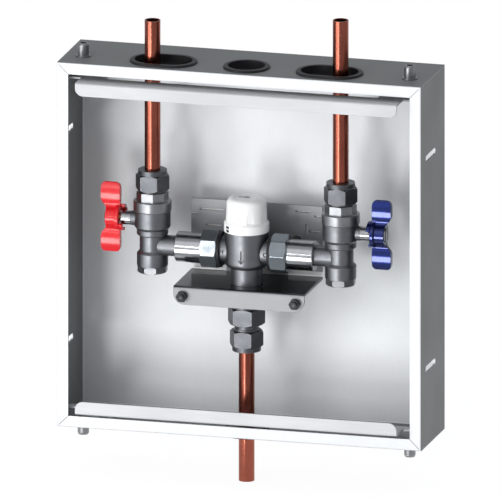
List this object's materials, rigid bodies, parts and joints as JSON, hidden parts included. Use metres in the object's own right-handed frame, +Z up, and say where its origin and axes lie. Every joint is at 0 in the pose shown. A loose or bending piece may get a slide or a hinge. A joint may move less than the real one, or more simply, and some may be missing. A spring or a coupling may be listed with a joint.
{
  "type": "boxed thermostatic mixing valve",
  "caption": "Recessed wall box with a tempering valve under a white cap, two isolating ball valves with red and blue butterfly handles, union nuts, steel bracket and copper pipes.",
  "frame": {"origin": "centre of the outer face of the wall box's back", "axes": "+Z up along the inlet pipes, -Y out of the wall towards the room, +X towards the cold side"},
  "size_m": [0.3, 0.0851, 0.3842],
  "materials": {
    "zinc_sheet": "brushed sheet, pale grey",
    "stainless_sheet": "polished folded sheet",
    "zinc_screw": "bright plated",
    "black_screw": "black oxide",
    "black_rubber": "matt",
    "cast_plated": "nickel plated casting, satin",
    "turned_plated": "nickel plated and turned bright",
    "bright_chrome": "mirror",
    "bare_brass": "machined",
    "copper_tube": "drawn copper, slightly aged",
    "white_plastic": "moulded, glossy white",
    "grey_plastic": "machined polymer",
    "seat_polymer": "white low friction polymer",
    "red_handle": "red coating, glossy",
    "blue_handle": "blue coating, glossy",
    "spring_steel": "spring wire",
    "stainless_gauze": "fine gauze"
  },
  "bodies": {
    "unit": {"ball_seats": "seat_polymer", "bonnet": "bare_brass", "box_shell": "zinc_sheet", "bracket": "stainless_sheet", "bracket_backing": "white_plastic", "bracket_screws": "black_screw", "bracket_standoffs": "zinc_screw", "check_cartridge_cold": "grey_plastic", "check_cartridge_hot": "grey_plastic", "check_spring_cold": "spring_steel", "check_spring_hot": "spring_steel", "compression_nuts": "cast_plated", "cover_rail_bottom": "zinc_sheet", "cover_rail_top": "zinc_sheet", "grommet_blank": "black_rubber", "grommet_cold": "black_rubber", "grommet_hot": "black_rubber", "grommet_mixed": "black_rubber", "head_seals": "black_rubber", "isolating_body_cold": "cast_plated", "isolating_body_hot": "cast_plated", "lip_bolts": "zinc_screw", "mixing_valve_body": "cast_plated", "olives": "bare_brass", "outlet_adapter": "cast_plated", "outlet_lock_nut": "cast_plated", "pipe_cold": "copper_tube", "pipe_hot": "copper_tube", "pipe_mixed": "copper_tube", "rail_screws": "zinc_screw", "return_spring": "spring_steel", "seat_sleeve": "grey_plastic", "stem_glands": "turned_plated", "strainer_caps": "cast_plated", "strainer_screens": "stainless_gauze", "tailpiece_cold": "turned_plated", "tailpiece_hot": "turned_plated", "threaded_inserts": "zinc_screw", "union_nut_cold": "bright_chrome", "union_nut_hot": "bright_chrome", "union_seals": "black_rubber", "valve_end_cold": "cast_plated", "valve_end_hot": "cast_plated", "wax_pin": "zinc_screw"},
    "hot_handle": {"handle_hot": "red_handle", "handle_screw_hot": "turned_plated", "stem_hot": "bare_brass", "ball_hot": "bright_chrome"},
    "cold_handle": {"handle_cold": "blue_handle", "handle_screw_cold": "turned_plated", "stem_cold": "bare_brass", "ball_cold": "bright_chrome"},
    "cap_body": {"cap": "white_plastic"},
    "spindle_body": {"spindle": "bare_brass", "overload_spring": "spring_steel", "overload_cup": "grey_plastic"},
    "shuttle": {"piston": "grey_plastic", "wax_element": "bare_brass"},
    "hot_poppet": {"check_poppet_hot": "grey_plastic"},
    "cold_poppet": {"check_poppet_cold": "grey_plastic"}
  },
  "joints": [
    {"name": "hot_handle_turn", "type": "hinge", "parent": "unit", "child": "hot_handle", "pos_m": [-0.0775, -0.0513, 0.01965], "axis": [1, 0, 0], "range_deg": [0, 90]},
    {"name": "cold_handle_turn", "type": "hinge", "parent": "unit", "child": "cold_handle", "pos_m": [0.0775, -0.0513, 0.01965], "axis": [1, 0, 0], "range_deg": [0, 90]},
    {"name": "cap_lift", "type": "slide", "parent": "unit", "child": "cap_body", "axis": [0, 0, 1], "range_m": [0, 0.045]},
    {"name": "spindle_turn", "type": "hinge", "parent": "unit", "child": "spindle_body", "pos_m": [0, -0.0513, 0.02], "axis": [0, 0, 1], "range_deg": [-135, 135]},
    {"name": "shuttle_stroke", "type": "slide", "parent": "unit", "child": "shuttle", "axis": [0, 0, 1], "range_m": [-0.001, 0.001], "stiffness_N_per_m": 3000, "deforming": ["return_spring"]},
    {"name": "hot_check_open", "type": "slide", "parent": "unit", "child": "hot_poppet", "axis": [1, 0, 0], "range_m": [0, 0.003], "stiffness_N_per_m": 50, "deforming": ["check_spring_hot"]},
    {"name": "cold_check_open", "type": "slide", "parent": "unit", "child": "cold_poppet", "axis": [-1, 0, 0], "range_m": [0, 0.003], "stiffness_N_per_m": 50, "deforming": ["check_spring_cold"]}
  ]
}
